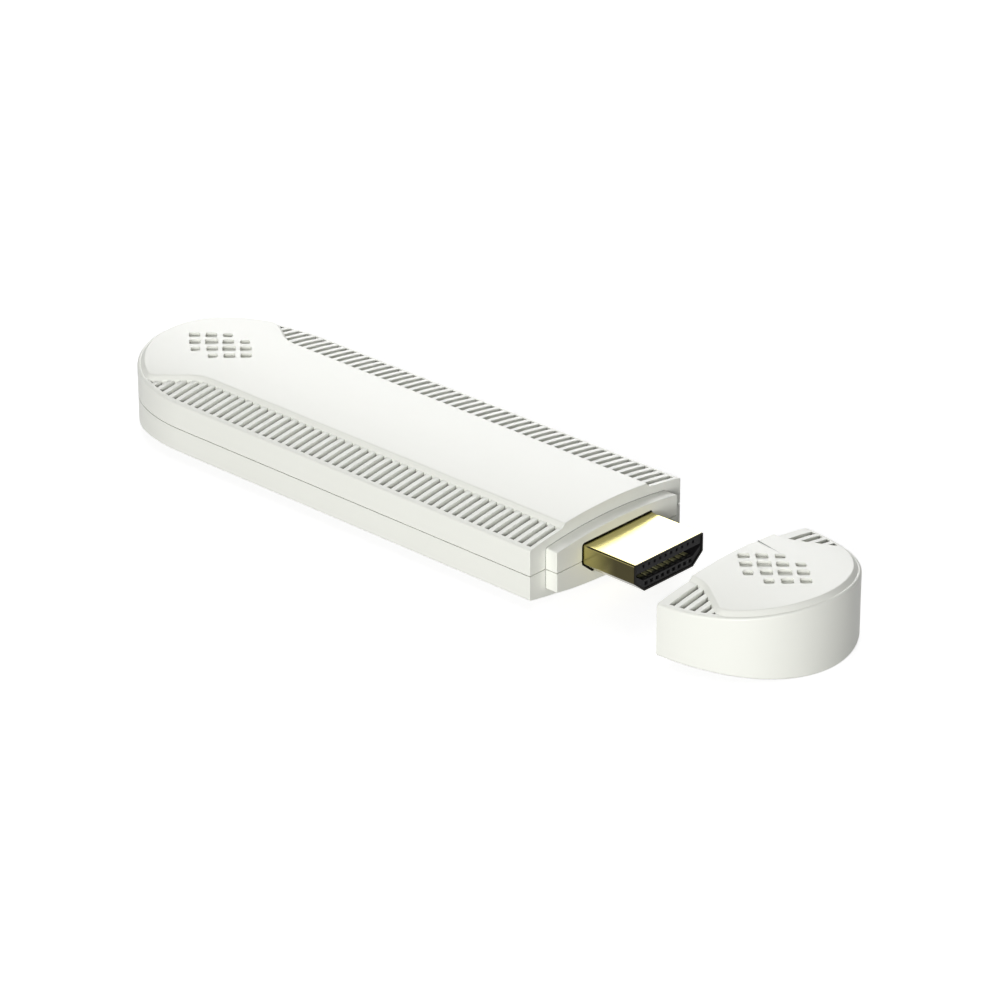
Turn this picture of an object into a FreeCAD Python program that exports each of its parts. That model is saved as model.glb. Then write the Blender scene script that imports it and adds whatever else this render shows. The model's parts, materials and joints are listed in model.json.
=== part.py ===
import FreeCAD
import Part
import math
import os

# Wireless display dongle: a flat two-shell stick with a video plug on its neck, and the cap for the plug.
# Sizes are in millimetres. X runs along the stick towards the plug and Z is up. The lowest line of the
# crowned belly lies on Z = 0, and the origin is under the middle of the stick and the cap as they lie.

Vector = FreeCAD.Vector

# Outer form of the stick
body_length = 85.8
body_width = 30.56
round_depth = 17.8
nose_shoulder = 0.58
wall_above = 3.87
wall_below = 3.70
crown_radius = 82.0
belly_radius = 89.0
edge_break = 0.2
parting_line = 0.14
parting_depth = 0.32

# Shell walls
side_wall = 1.5
end_wall = 1.6
top_wall = 1.7
floor_wall = 1.4
lip_height = 0.7
lip_thickness = 0.7
lip_clearance = 0.06

# Raised middle of the cover and of the cap
panel_rise = 0.58
panel_slope = 0.62
strip_width = 6.36
panel_rim = 0.42
bend_place = 1.8
bend_angle = 34.2
bend_radius = 5.6
panel_corner_radius = 2.3

# Grooves across the side strips
groove_pitch = 1.525
groove_width = 0.75
groove_depth = 0.7
groove_margin = 0.78
groove_bite = 0.06
groove_reach = 8.4
body_groove_start = 0.98
cap_groove_start = 1.86
shortest_groove = 0.5

# Diamond dimples in the raised middle
dimple_pitch_x = 1.79
dimple_pitch_y = 1.63
dimple_sides = (1.90, 1.66, 1.38)
dimple_tip_side = 1.58
dimple_depth = 0.45
dimple_corner = 0.42
body_dimple_place = 10.8
cap_dimple_place = 7.15

# Neck that carries the plug and that the cap fits over
neck_length = 2.08
neck_step = 3.13
neck_above = 3.10
neck_below = 2.95
neck_crown_radius = 80.0
neck_edge_radius = 0.3

# Video plug
plug_width = 13.9
plug_height = 4.45
plug_side_height = 2.8
plug_bottom_width = 9.9
plug_reach = 11.32
plug_rise = 0.195
plug_sheet = 0.3
plug_edge_radius = 0.3
plug_gap = 0.25
plug_hole_radius = 0.55
plug_shell_back = 2.8
plug_slot_width = 13.0
plug_slot_side = 0.35
plug_slot_floor_width = 10.1
plug_slot_depth = 8.0
insulator_recess = 0.12
insulator_clearance = 0.02
insulator_back = 3.0
contact_pitch = 1.12
contact_width = 0.6
contact_thickness = 0.18
contact_recess = 0.35
contact_tail = 1.6
upper_contacts = 10
lower_contacts = 9
window_depth = 0.6
upper_window = (0.42, 0.46)
lower_window = (0.62, 0.54)
upper_window_place = 1.45
lower_window_place = 1.24
leg_length = 1.8
leg_start = 3.9
leg_below = 0.5
leg_play = 0.1
arm_lift = 0.2

# Cap
cap_gap = 22.5
cap_depth = 17.7
cap_nose_shoulder = 0.78
cap_bend_place = 2.2
cap_wall = 1.6
cap_clearance = 0.12
cap_rib_width = 0.8
cap_rib_place = 5.0
cap_rib_start = 3.4
cap_rib_gap = 0.3

# Main board and what holds it
board_thickness = 1.0
board_clearance = 1.18
boss_diameter = 3.6
boss_front = 8.6
boss_from_tail = 20.3
boss_inset = 5.08
screw_diameter = 1.6
screw_hole_play = 0.2
screw_grip = 2.2
screw_head_diameter = 2.8
screw_head_height = 0.9
screw_recess = 0.45
screw_recess_length = 1.5
screw_recess_width = 0.36
core_floor = 0.4

# Snap tabs of the top cover
tab_front_places = (15.0, 39.0)
tab_from_tail = 21.3
tab_length = 4.0
tab_thickness = 0.85
tab_gap = 0.05
tab_drop = 2.3
tab_root = 0.95
tab_root_height = 1.5
hook_height = 0.8
hook_reach = 0.4
hook_play = 0.15
hook_chin = 0.1
tab_bite = 0.2

# Power socket in the round end
socket_width = 7.5
socket_height = 2.5
socket_length = 5.2
socket_inset = 0.9
socket_corner = 0.7
socket_sheet = 0.3
socket_gap = 0.22
socket_wing = 1.1
socket_wing_length = 1.7
socket_rear_wall = 0.9
tongue_width = 3.7
tongue_thickness = 0.6
tongue_length = 3.4
tongue_rise = 0.35
socket_contacts = 5
socket_contact_pitch = 0.65
socket_contact_width = 0.3
socket_contact_thickness = 0.12
socket_tail = 1.1
socket_contact_setback = 0.3

# Mode button in the far side wall and its switch
button_from_tail = 29.3
button_width = 5.2
button_height = 1.7
button_rise = 1.4
button_proud = 0.45
button_travel = 0.3
button_gap = 0.1
button_corner = 0.6
button_flange = 0.6
button_flange_spread = 0.7
switch_width = 4.6
switch_depth = 3.4
switch_height = 1.7
switch_setback = 0.4
plunger_width = 1.8
plunger_height = 0.9
plunger_play = 0.06
plunger_sunk = 0.7

# Parts on the board. A place is the centre's distance behind the flat end face, an inset its distance from
# the stick's side and an offset its Y. A size is length, width and height.
processor_place = 39.0
processor_size = (13.0, 13.0, 1.1)
memory_place = 23.0
memory_size = (8.0, 11.0, 1.0)
memory_spacing = 9.6
flash_place = 52.2
flash_inset = 8.08
flash_size = (6.0, 8.0, 0.9)
radio_place = 63.0
radio_offset = 0.5
radio_chip_size = (6.0, 6.0, 0.9)
radio_can_size = (12.0, 12.6, 1.8)
can_sheet = 0.2
crystal_place = 50.0
crystal_offset = 2.6
crystal_size = (3.2, 2.5, 0.7)
inductor_place = 12.8
inductor_inset = 6.08
inductor_size = (4.0, 4.0, 1.9)
regulator_place = 11.4
regulator_offset = 1.0
regulator_size = (3.0, 3.0, 0.9)
capacitor_size = (0.5, 1.0, 0.5)
capacitor_inset = 5.68
capacitor_pitch = 1.6
near_capacitor_place = 17.4
near_capacitors = 7
far_capacitor_place = 34.0
far_capacitors = 5
chip_chamfer = 0.1
inductor_corner = 0.6
pad_thickness = 0.5
pad_margin = 1.0
spreader_length = 34.0
spreader_width = 16.4
spreader_thickness = 0.6
spreader_place = 32.0
spreader_leg = 1.2
antenna_from_tail = 10.3
antenna_inset = 6.68
antenna_length = 7.0
antenna_width = 2.6
antenna_sheet = 0.3
antenna_height = 2.0
antenna_leg = 0.7
antenna_leg_gap = 1.6


# Sizes that follow from the ones above
half_width = body_width / 2
nose_radius = half_width - nose_shoulder
cap_nose_radius = half_width - cap_nose_shoulder
panel_half_width = half_width - strip_width
neck_width = body_width - 2 * neck_step
crown_sagitta = crown_radius - math.sqrt(crown_radius ** 2 - half_width ** 2)
belly_sagitta = belly_radius - math.sqrt(belly_radius ** 2 - half_width ** 2)
parting_z = belly_sagitta + wall_below
crown_top = parting_z + wall_above + crown_sagitta
body_top = crown_top + panel_rise
face_x = (body_length - cap_gap - cap_depth) / 2
straight_length = body_length - round_depth
cap_x = face_x + cap_gap
tail_x = face_x - body_length
plug_z = parting_z + plug_rise
plug_tip = face_x + plug_reach
board_top = plug_z + board_thickness / 2
board_floor = plug_z - board_thickness / 2
board_inset = side_wall + board_clearance
inner_half = half_width - side_wall
button_place = body_length - button_from_tail
tab_places = tab_front_places + (body_length - tab_from_tail,)
processor = (processor_place, 0.0) + processor_size
flash = (flash_place, flash_inset - half_width) + flash_size
radio_chip = (radio_place, radio_offset) + radio_chip_size
radio_can = (radio_place, radio_offset) + radio_can_size
crystal_can = (crystal_place, crystal_offset) + crystal_size
inductor = (inductor_place, inductor_inset - half_width) + inductor_size
regulator = (regulator_place, regulator_offset) + regulator_size
spare = 4.0
overcut = 1.0
seam = 0.01
near_zero = 1e-3


def box(x0, x1, y0, y1, z0, z1):
    """Block between two corners."""
    return Part.makeBox(x1 - x0, y1 - y0, z1 - z0, Vector(x0, y0, z0))


def slab(z0, z1):
    """Block as wide and long as everything, between two heights."""
    reach = body_length + cap_gap + cap_depth
    return box(-reach, reach, -body_width, body_width, z0, z1)


def along_x(points, x0, x1):
    """Bar along X with a closed section of (Y, Z) points."""
    wire = Part.makePolygon([Vector(x0, y, z) for y, z in points + points[:1]])
    return Part.Face(wire).extrude(Vector(x1 - x0, 0, 0))


def round_edges(shape, radius, wanted):
    """Rounds every edge that the test picks."""
    edges = [edge for edge in shape.Edges if wanted(edge)]
    return shape.makeFillet(radius, edges)


def break_edges(shape, size, wanted):
    """Chamfers every edge that the test picks."""
    edges = [edge for edge in shape.Edges if wanted(edge)]
    return shape.makeChamfer(size, edges)


def runs_along(edge, axis):
    """True for a straight edge along the axis."""
    if not isinstance(edge.Curve, (Part.Line, Part.LineSegment)):
        return False
    return abs(abs(edge.tangentAt(edge.FirstParameter).dot(axis)) - 1) < near_zero


def rounded_bar(y_mid, z_mid, width, height, radius, x0, x1):
    """Bar along X with a rounded rectangular section."""
    bar = box(x0, x1, y_mid - width / 2, y_mid + width / 2, z_mid - height / 2, z_mid + height / 2)
    return round_edges(bar, radius, lambda edge: runs_along(edge, Vector(1, 0, 0)))


def under_crown(radius, top_z):
    """Everything under a cylindrical crown whose highest line is at top_z."""
    reach = body_length + cap_gap + cap_depth
    return Part.makeCylinder(radius, 2 * reach, Vector(-reach, 0, top_z - radius), Vector(1, 0, 0))


def over_belly(radius, low_z):
    """Everything over a cylindrical belly whose lowest line is at low_z."""
    reach = body_length + cap_gap + cap_depth
    return Part.makeCylinder(radius, 2 * reach, Vector(-reach, 0, low_z + radius), Vector(1, 0, 0))


class RoundEnd:
    """Plan of a piece with a flat end, straight sides and a round end of three tangent arcs."""

    def __init__(self, base_x, direction, straight, depth, nose, bend):
        self.base_x = base_x
        self.direction = direction
        self.straight = straight
        self.depth = depth
        self.nose = nose
        self.bend = bend
        nose_centre = depth - nose
        self.flank = (half_width ** 2 + nose_centre ** 2 - nose ** 2) / (2 * (half_width - nose))

    def place(self, along, y, z=0.0):
        """Point at a distance along the piece from where the round end starts."""
        return Vector(self.base_x + self.direction * along, y, z)

    def wire(self, inset, flat_inset, z):
        """Closed outline, drawn in by inset, with its flat end drawn in by flat_inset."""
        half = half_width - inset
        flank = self.flank - inset
        nose = self.nose - inset
        flank_y = self.flank - half_width
        nose_x = self.depth - self.nose
        turn = math.atan2(nose_x, flank_y)
        joint = (nose_x + nose * math.sin(turn), -nose * math.cos(turn))
        middle = (flank * math.sin(turn / 2), flank_y - flank * math.cos(turn / 2))
        start = flat_inset - self.straight
        near = [self.place(start, -half, z), self.place(0, -half, z)]
        far = [self.place(start, half, z), self.place(0, half, z)]
        edges = []
        if start < 0:
            edges.append(Part.LineSegment(near[0], near[1]).toShape())
        else:
            near[0] = near[1]
            far[0] = far[1]
        near_joint = self.place(joint[0], joint[1], z)
        far_joint = self.place(joint[0], -joint[1], z)
        edges.append(Part.Arc(near[1], self.place(middle[0], middle[1], z), near_joint).toShape())
        edges.append(Part.Arc(near_joint, self.place(nose_x + nose, 0, z), far_joint).toShape())
        edges.append(Part.Arc(far_joint, self.place(middle[0], -middle[1], z), far[1]).toShape())
        if start < 0:
            edges.append(Part.LineSegment(far[1], far[0]).toShape())
        edges.append(Part.LineSegment(far[0], near[0]).toShape())
        return Part.Wire(edges)

    def block(self, inset, z0, z1, flat_inset=0.0):
        """Upright block on the outline."""
        return Part.Face(self.wire(inset, flat_inset, z0)).extrude(Vector(0, 0, z1 - z0))

    def strip(self, side, bite, z0, z1):
        """Upright block over one side strip, from the raised middle's S-curved edge outwards."""
        angle = math.radians(bend_angle)
        edge = panel_half_width - bite
        radius = bend_radius + bite
        bend = self.bend + bite * math.tan(angle / 2)
        tangent = radius * math.tan(angle / 2)
        outside = half_width + spare
        run = (outside - edge) / math.tan(angle)
        back = -self.straight - spare
        first = self.place(bend - tangent, side * edge, z0)
        middle = self.place(bend - tangent + radius * math.sin(angle / 2),
                            side * (edge + radius - radius * math.cos(angle / 2)), z0)
        last = self.place(bend + tangent * math.cos(angle), side * (edge + tangent * math.sin(angle)), z0)
        far = self.place(bend + run, side * outside, z0)
        corner = self.place(back, side * outside, z0)
        start = self.place(back, side * edge, z0)
        wire = Part.Wire([
            Part.LineSegment(start, first).toShape(),
            Part.Arc(first, middle, last).toShape(),
            Part.LineSegment(last, far).toShape(),
            Part.LineSegment(far, corner).toShape(),
            Part.LineSegment(corner, start).toShape(),
        ])
        return Part.Face(wire).extrude(Vector(0, 0, z1 - z0))

    def crowned(self, flat_inset=0.0):
        """Full block of the piece between its crowned belly and its crowned top, with broken edges."""
        whole = self.block(0, -spare, body_top + spare, flat_inset)
        whole = whole.common(under_crown(crown_radius, crown_top))
        whole = whole.common(over_belly(belly_radius, 0))
        flat_x = self.place(flat_inset - self.straight, 0).x

        def is_rim(edge):
            """True for an edge between a crowned face and the wall, away from the flat end."""
            box_of_edge = edge.BoundBox
            if runs_along(edge, Vector(0, 0, 1)):
                return False
            return abs(box_of_edge.XMin - flat_x) > near_zero or abs(box_of_edge.XMax - flat_x) > near_zero

        return break_edges(whole, edge_break, is_rim)

    def raised_middle(self):
        """Raised panel: as wide as the round end there, and drawn in along the sides by S-curves."""
        panel = self.block(panel_rim, parting_z + wall_above / 2, body_top + spare)
        for side in (-1, 1):
            panel = panel.cut(self.strip(side, 0, 0, body_top + 2 * spare))
        widest = [edge for edge in panel.Edges if runs_along(edge, Vector(0, 0, 1))]
        limit = panel_half_width + panel_slope
        corners = [edge for edge in widest if abs(edge.BoundBox.YMin) > limit]
        panel = panel.makeFillet(panel_corner_radius, corners)
        panel = panel.common(under_crown(crown_radius + panel_rise, body_top))
        top_edges = []
        flat_x = self.place(-self.straight, 0).x
        for edge in panel.Edges:
            bounds = edge.BoundBox
            on_flat = abs(bounds.XMin - flat_x) < near_zero and abs(bounds.XMax - flat_x) < near_zero
            if bounds.ZMin > parting_z + wall_above and not on_flat and not runs_along(edge, Vector(0, 0, 1)):
                top_edges.append(edge)
        return panel.makeChamfer(panel_slope, top_edges)

    def grooves(self, start):
        """Cutter for the grooves across both side strips."""
        stripes = []
        place = start + groove_width / 2 - self.straight
        while place < groove_reach:
            stripes.append(place)
            place += groove_pitch
        cutters = []
        low = crown_top - crown_sagitta - spare
        middle = (panel_half_width + half_width - groove_margin) / 2
        lean = math.asin(middle / crown_radius)
        floor_y = (crown_radius - groove_depth) * math.sin(lean)
        floor_z = crown_top - crown_radius + (crown_radius - groove_depth) * math.cos(lean)
        for side in (-1, 1):
            region = self.block(groove_margin, low, body_top + spare).common(
                self.strip(side, groove_bite, low, body_top + spare))
            bars = []
            for centre in stripes:
                x = self.place(centre, 0).x
                bar = box(x - groove_width / 2, x + groove_width / 2, -half_width, half_width, 0, 2 * spare)
                bar.rotate(Vector(0, 0, 0), Vector(1, 0, 0), -side * math.degrees(lean))
                bar.translate(Vector(0, side * floor_y, floor_z))
                bars.append(bar)
            pieces = Part.makeCompound(bars).common(region)
            for piece in pieces.Solids:
                if piece.BoundBox.YLength > shortest_groove:
                    cutters.append(piece)
        return cutters

    def dimples(self, middle_place):
        """Cutters for the fourteen diamond dimples round a place along the piece."""
        cutters = []
        for row in range(-2, 3):
            count = 4 - abs(row)
            for number in range(count):
                along = middle_place + dimple_pitch_x * (2 * number - count + 1)
                side = dimple_sides[abs(row)]
                if row == 0 and number in (0, count - 1):
                    side = dimple_tip_side
                centre = self.place(along, row * dimple_pitch_y, 0)
                cutters.append(self.dimple(centre, side))
        return cutters

    def dimple(self, centre, side):
        """Cutter for one dimple: a square turned by 45 degrees, with its corners cut off."""
        cutter = Part.makeBox(side, side, spare, Vector(-side / 2, -side / 2, 0))
        cutter = break_edges(cutter, dimple_corner, lambda edge: runs_along(edge, Vector(0, 0, 1)))
        cutter.rotate(Vector(0, 0, 0), Vector(0, 0, 1), 45)
        radius = crown_radius + panel_rise
        drop = radius - math.sqrt(radius ** 2 - centre.y ** 2)
        cutter.translate(Vector(centre.x, centre.y, body_top - drop - dimple_depth))
        return cutter


body = RoundEnd(face_x - straight_length, -1, straight_length, round_depth, nose_radius, bend_place)
cap_plan = RoundEnd(cap_x, 1, 0.0, cap_depth, cap_nose_radius, cap_bend_place)


def plug_section(inset, fillet):
    """Closed (Y, Z) section of the plug: a rectangle whose lower corners are cut off."""
    half = plug_width / 2 - inset
    top = plug_z + plug_height / 2 - inset
    bottom = plug_z - plug_height / 2 + inset
    side_end = plug_z + plug_height / 2 - plug_side_height
    bottom_half = plug_bottom_width / 2
    slope = math.atan2(side_end - (plug_z - plug_height / 2), plug_width / 2 - bottom_half)
    side_end += inset * (1 / math.cos(slope) - math.tan(slope))
    bottom_half -= inset * (1 / math.sin(slope) - 1 / math.tan(slope))
    points = [(-half, top), (half, top), (half, side_end), (bottom_half, bottom),
              (-bottom_half, bottom), (-half, side_end)]
    return points, fillet


def plug_bar(inset, fillet, x0, x1):
    """Bar along X with the plug's section, its long edges rounded."""
    points, radius = plug_section(inset, fillet)
    bar = along_x(points, x0, x1)
    if radius > 0:
        bar = round_edges(bar, radius, lambda edge: runs_along(edge, Vector(1, 0, 0)))
    return bar


def neck(x0, x1, spread, z_spread):
    """Crowned block of the neck between two places, grown by the spreads."""
    half = neck_width / 2
    sagitta = neck_crown_radius - math.sqrt(neck_crown_radius ** 2 - half ** 2)
    block = box(x0, x1, -half - spread, half + spread, -spare, body_top)
    block = block.common(under_crown(neck_crown_radius, parting_z + neck_above + sagitta + z_spread))
    return block.common(over_belly(neck_crown_radius, parting_z - neck_below - sagitta - z_spread))


def socket_bar(spread, radius, x0, x1):
    """Bar along X with the power socket's section."""
    return rounded_bar(0, plug_z, socket_width + 2 * spread, socket_height + 2 * spread, radius, x0, x1)


def outer_shape():
    """Whole outside of the stick, solid: crowned block, raised middle and neck."""
    outer = body.crowned().fuse(body.raised_middle())
    collar = neck(face_x - end_wall / 2, face_x + neck_length, 0, 0)
    collar = round_edges(collar, neck_edge_radius, lambda edge: runs_along(edge, Vector(1, 0, 0)))
    return outer.fuse(collar)


def inner_space():
    """Hollow of the two shells."""
    hollow = body.block(side_wall, -spare, body_top, end_wall)
    hollow = hollow.common(under_crown(crown_radius - top_wall, crown_top - top_wall))
    return hollow.common(over_belly(belly_radius - floor_wall, floor_wall))


def parting_cut():
    """Fine line all round the outside where the shells meet."""
    inner = body.block(parting_depth, 0, body_top, parting_depth)
    inner = inner.fuse(neck(face_x - end_wall, face_x + neck_length - parting_depth, -parting_depth, 0))
    line = slab(parting_z - parting_line / 2, parting_z + parting_line / 2)
    return line.cut(inner)


def lip_ring(outer_inset, height):
    """Ring of the lip along the inner half of the side walls."""
    reach = end_wall + 2 * lip_clearance
    ring = body.block(outer_inset, parting_z, parting_z + height, reach)
    core = body.block(side_wall, parting_z - overcut, parting_z + height + overcut, end_wall)
    return ring.cut(core)


def button_bar(spread, y0, y1):
    """Rounded bar along Y with the mode button's section."""
    centre_x = face_x - button_place
    centre_z = parting_z + button_rise
    half = button_width / 2 + spread
    tall = button_height / 2 + spread
    bar = box(centre_x - half, centre_x + half, y0, y1, centre_z - tall, centre_z + tall)
    return round_edges(bar, button_corner + spread, lambda edge: runs_along(edge, Vector(0, 1, 0)))


def tabs(play):
    """Snap tabs with their hooks; with play they are the pockets for the hooks."""
    pieces = []
    outside = inner_half - tab_gap
    for place in tab_places:
        middle = face_x - place
        for side in (-1, 1):
            x0 = middle - tab_length / 2 - play
            x1 = middle + tab_length / 2 + play
            hook_low = parting_z - tab_drop + hook_chin
            hook = [(outside - seam, hook_low), (outside + hook_reach + play, hook_low + hook_height / 2),
                    (outside + hook_reach + play, hook_low + hook_height + play),
                    (outside - seam, hook_low + hook_height + play)]
            pieces.append(along_x([(side * y, z) for y, z in hook], x0, x1))
            if play == 0:
                inside = outside - tab_thickness
                leaf = [(inside, parting_z - tab_drop), (outside, parting_z - tab_drop),
                        (outside, parting_z + tab_root), (inner_half + tab_bite, parting_z + tab_root),
                        (inner_half + tab_bite, parting_z + tab_root + tab_root_height),
                        (inside, parting_z + tab_root + tab_root_height)]
                pieces.append(along_x([(side * y, z) for y, z in leaf], x0, x1))
    return pieces


def boss_places():
    """Centres of the two screw bosses, in opposite corners of the board."""
    offset = half_width - boss_inset
    return [(face_x - boss_front, offset), (tail_x + boss_from_tail, -offset)]


def openings_in_walls():
    """Holes that both shells leave: the plug's, the power socket's and the mode button's."""
    plug_hole = plug_bar(-plug_gap, plug_hole_radius, face_x - end_wall - overcut,
                         face_x + neck_length + overcut)
    socket_hole = socket_bar(socket_gap, socket_corner + socket_gap, tail_x - overcut,
                             tail_x + side_wall + spare)
    button_hole = button_bar(button_gap, inner_half - overcut, half_width + overcut)
    return [plug_hole, socket_hole, button_hole]


def top_cover(outer, inner, holes):
    """Upper shell: crowned and grooved outside, raised middle, snap tabs inside."""
    shell = outer.cut(inner).cut(slab(-spare, parting_z))
    shell = shell.cut(lip_ring(side_wall - lip_thickness - lip_clearance, lip_height + lip_clearance))
    shell = shell.cut(body.grooves(body_groove_start - groove_width / 2))
    shell = shell.cut(body.dimples(round_depth - body_dimple_place))
    shell = shell.fuse(tabs(0))
    return shell.cut(holes + [parting_cut()]).removeSplitter()


def bottom_cover(outer, inner, holes):
    """Lower shell: crowned belly, lip, screw bosses and pockets for the hooks."""
    shell = outer.cut(inner).cut(slab(parting_z, body_top + spare))
    shell = shell.fuse(lip_ring(side_wall - lip_thickness, lip_height))
    floor = floor_wall / 2
    for x, y in boss_places():
        boss = Part.makeCylinder(boss_diameter / 2, board_floor - floor, Vector(x, y, floor))
        shell = shell.fuse(boss.common(over_belly(belly_radius - floor, floor)))
    cores = []
    for x, y in boss_places():
        low = floor_wall + core_floor
        cores.append(Part.makeCylinder(screw_diameter / 2, board_floor - low + overcut, Vector(x, y, low)))
    return shell.cut(cores + tabs(hook_play) + holes + [parting_cut()]).removeSplitter()


def plug_cap():
    """One-piece cap: the stick's section with its own round end, hollow for the neck and the plug."""
    cap = cap_plan.crowned().fuse(cap_plan.raised_middle())
    cap = cap.cut(cap_plan.grooves(cap_groove_start - groove_width / 2))
    cap = cap.cut(cap_plan.dimples(cap_dimple_place))
    hollow = neck(cap_x - overcut, cap_x + cap_depth, cap_clearance, cap_clearance)
    limit = cap_plan.block(cap_wall, -spare, body_top + spare)
    mouth = neck(cap_x - overcut, cap_x + cap_wall, cap_clearance, cap_clearance)
    hollow = hollow.common(limit).fuse(mouth)
    ribs = []
    for side in (-1, 1):
        middle = side * cap_rib_place
        y0 = middle - cap_rib_width / 2
        y1 = middle + cap_rib_width / 2
        x0 = cap_x + cap_rib_start
        x1 = cap_x + cap_depth
        ribs.append(box(x0, x1, y0, y1, plug_z + plug_height / 2 + cap_rib_gap, body_top))
        ribs.append(box(x0, x1, y0, y1, 0, plug_z - plug_height / 2 - cap_rib_gap))
    return cap.cut(hollow.cut(ribs)).removeSplitter()


def main_board():
    """Circuit board with its screw holes, the notch for the socket and slots for the plug's legs."""
    board = body.block(board_inset, board_floor, board_top, insulator_back)
    cuts = []
    for x, y in boss_places():
        cuts.append(Part.makeCylinder((screw_diameter + screw_hole_play) / 2, 2 * board_thickness,
                                      Vector(x, y, board_floor - board_thickness / 2)))
    notch = socket_width / 2 + socket_gap
    socket_back = tail_x + socket_inset + socket_length
    low = board_floor - overcut
    high = board_top + overcut
    cuts.append(box(tail_x, socket_back + socket_gap, -notch, notch, low, high))
    for side in (-1, 1):
        middle = side * (plug_width / 2 - plug_sheet / 2)
        half = plug_sheet / 2 + leg_play
        x1 = face_x - leg_start + leg_play
        x0 = x1 - leg_length - 2 * leg_play
        cuts.append(box(x0, x1, middle - half, middle + half, low, high))
    return board.cut(cuts)


def board_screws():
    """Two screws with cross recesses in their heads."""
    screws = []
    for x, y in boss_places():
        shank = Part.makeCylinder(screw_diameter / 2, board_thickness + screw_grip,
                                  Vector(x, y, board_floor - screw_grip))
        head = Part.makeCylinder(screw_head_diameter / 2, screw_head_height, Vector(x, y, board_top))
        long_way = screw_recess_length / 2
        short_way = screw_recess_width / 2
        recess_z = board_top + screw_head_height - screw_recess
        top = board_top + screw_head_height + overcut
        cross = box(x - long_way, x + long_way, y - short_way, y + short_way, recess_z, top)
        cross = cross.fuse(box(x - short_way, x + short_way, y - long_way, y + long_way, recess_z, top))
        screws.append(shank.fuse(head).cut(cross).removeSplitter())
    return Part.makeCompound(screws)


def plug_shell():
    """Folded metal shell of the video plug with its two legs through the board."""
    back = face_x - plug_shell_back
    shell = plug_bar(0, plug_edge_radius, back, plug_tip)
    shell = shell.cut(plug_bar(plug_sheet, plug_edge_radius / 2, back - overcut, plug_tip + overcut))
    top = plug_z + plug_height / 2 - plug_edge_radius
    for side in (-1, 1):
        outer = side * plug_width / 2
        inner = side * (plug_width / 2 - plug_sheet)
        x0 = face_x - leg_start - leg_length
        arm = box(x0, back + overcut, min(outer, inner), max(outer, inner), board_top + arm_lift, top)
        leg = box(x0, x0 + leg_length, min(outer, inner), max(outer, inner), board_floor - leg_below, top)
        shell = shell.fuse([arm, leg])
    return shell.removeSplitter()


def slot_section():
    """Closed (Y, Z) section of the slot in the plug's insulator."""
    top = plug_z + board_thickness / 2 + contact_thickness
    bottom = plug_z - board_thickness / 2 - contact_thickness
    wide = plug_slot_width / 2
    narrow = plug_slot_floor_width / 2
    return [(-wide, top), (wide, top), (wide, top - plug_slot_side), (narrow, bottom), (-narrow, bottom),
            (-wide, top - plug_slot_side)]


def contact_row(count, z0):
    """Row of straight contact strips that run from the slot to the board."""
    strips = []
    for number in range(count):
        y = (number - (count - 1) / 2) * contact_pitch
        half = contact_width / 2
        strips.append(box(face_x - insulator_back - contact_tail, plug_tip - contact_recess,
                          y - half, y + half, z0, z0 + contact_thickness))
    return strips


def window_row(count, size, z_mid):
    """Row of small windows in the insulator's front."""
    windows = []
    front = plug_tip - insulator_recess
    for number in range(count):
        y = (number - (count - 1) / 2) * contact_pitch
        windows.append(box(front - window_depth, front + overcut, y - size[0] / 2, y + size[0] / 2,
                           z_mid - size[1] / 2, z_mid + size[1] / 2))
    return windows


def plug_pieces():
    """Insulator and the two rows of contacts of the video plug."""
    upper = contact_row(upper_contacts, board_top)
    lower = contact_row(lower_contacts, board_floor - contact_thickness)
    inset = plug_sheet + insulator_clearance
    front = plug_tip - insulator_recess
    body_bar = plug_bar(inset, plug_edge_radius / 2, face_x - insulator_back, front)
    slot = along_x(slot_section(), front - plug_slot_depth, front + overcut)
    windows = window_row(upper_contacts, upper_window, plug_z + upper_window_place)
    windows += window_row(lower_contacts, lower_window, plug_z - lower_window_place)
    insulator = body_bar.cut([slot] + windows + upper + lower)
    return insulator, Part.makeCompound(upper), Part.makeCompound(lower)


def socket_pieces():
    """Shell, tongue and contacts of the power socket."""
    front = tail_x + socket_inset
    back = front + socket_length
    shell = socket_bar(0, socket_corner, front, back)
    bore_radius = socket_corner - socket_sheet
    shell = shell.cut(socket_bar(-socket_sheet, bore_radius, front - overcut, back + overcut))
    notch = socket_width / 2 + socket_gap
    for side in (-1, 1):
        inner = side * (socket_width / 2 - socket_sheet / 2)
        outer = side * (notch + socket_wing)
        wing_end = back - socket_rear_wall
        wing = box(wing_end - socket_wing_length, wing_end, min(inner, outer), max(inner, outer),
                   board_top, board_top + socket_sheet)
        shell = shell.fuse(wing)
    clear = socket_sheet + insulator_clearance
    rear = rounded_bar(0, plug_z, socket_width - 2 * clear, socket_height - 2 * clear,
                       bore_radius, back - socket_rear_wall, back)
    tongue_z = plug_z + tongue_rise
    tongue = rear.fuse(box(back - socket_rear_wall - tongue_length, back - socket_rear_wall / 2,
                           -tongue_width / 2, tongue_width / 2, tongue_z, tongue_z + tongue_thickness))
    contacts = []
    for number in range(socket_contacts):
        y = (number - (socket_contacts - 1) / 2) * socket_contact_pitch
        half = socket_contact_width / 2
        x0 = back - socket_rear_wall - tongue_length + socket_contact_setback
        blade = box(x0, back, y - half, y + half, tongue_z - socket_contact_thickness, tongue_z)
        riser = box(back, back + socket_contact_thickness, y - half, y + half,
                    tongue_z - socket_contact_thickness, board_top + socket_contact_thickness)
        tail = box(back, back + socket_tail, y - half, y + half,
                   board_top, board_top + socket_contact_thickness)
        contacts.append(blade.fuse([riser, tail]).removeSplitter())
    return shell.removeSplitter(), tongue.cut(contacts).removeSplitter(), Part.makeCompound(contacts)


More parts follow.
